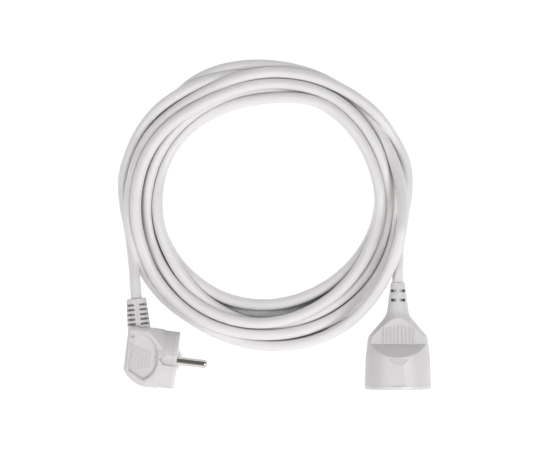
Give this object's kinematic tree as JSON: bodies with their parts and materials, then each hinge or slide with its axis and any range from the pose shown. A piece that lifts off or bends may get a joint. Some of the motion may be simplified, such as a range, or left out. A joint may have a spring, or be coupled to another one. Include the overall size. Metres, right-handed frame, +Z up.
{
  "type": "extension cord",
  "caption": "White earthed extension cord, laid in a loose round coil, with a moulded angle plug and an in-line coupler behind a sprung safety shutter.",
  "frame": {"origin": "centre of the plug's and coupler's common box, on the surface that the cord lies on", "axes": "+Z up, +X from the plug end towards the coupler end, +Y from the two ends towards the coil"},
  "size_m": [0.1987, 0.2088, 0.042],
  "materials": {
    "white_pvc_moulding": "satin moulded soft PVC, warm white",
    "white_hard_plastic": "satin injection-moulded plastic, cool white",
    "nickel_pins": "bright nickel plate on brass",
    "nickel_strip": "satin nickel-plated spring strip",
    "brass_contacts": "bare brass",
    "shutter_plastic": "satin moulded plastic",
    "spring_steel": "spring steel wire",
    "cable_jacket": "satin extruded soft PVC, white, with a fine crosswise texture",
    "core_brown": "smooth PVC insulation",
    "core_blue": "smooth PVC insulation",
    "core_green_yellow": "smooth PVC insulation, green with a yellow stripe"
  },
  "bodies": {
    "cord_set": {"plug_body": "white_pvc_moulding", "coupler_body": "white_pvc_moulding", "plug_pin_carrier": "white_hard_plastic", "coupler_insert": "white_hard_plastic", "coupler_contact_carrier": "white_hard_plastic", "plug_line_pin": "nickel_pins", "plug_neutral_pin": "nickel_pins", "plug_earth_strap": "nickel_strip", "coupler_earth_strap": "nickel_strip", "plug_earth_sleeve": "brass_contacts", "plug_earth_crimp": "brass_contacts", "coupler_line_contact": "brass_contacts", "coupler_neutral_contact": "brass_contacts", "coupler_earth_crimp": "brass_contacts", "coupler_shutter_spring": "spring_steel", "cord_plug_lead": "cable_jacket", "cord_coil": "cable_jacket", "cord_socket_lead": "cable_jacket", "plug_line_core": "core_brown", "coupler_line_core": "core_brown", "plug_neutral_core": "core_blue", "coupler_neutral_core": "core_blue", "plug_earth_core": "core_green_yellow", "coupler_earth_core": "core_green_yellow"},
    "shutter": {"coupler_shutter": "shutter_plastic"}
  },
  "joints": [
    {"name": "shutter_slide", "type": "slide", "parent": "cord_set", "child": "shutter", "axis": [0, 0, 1], "range_m": [0, 0.0058], "stiffness_N_per_m": 120, "springref_m": -0.003, "deforming": ["coupler_shutter_spring"]}
  ]
}
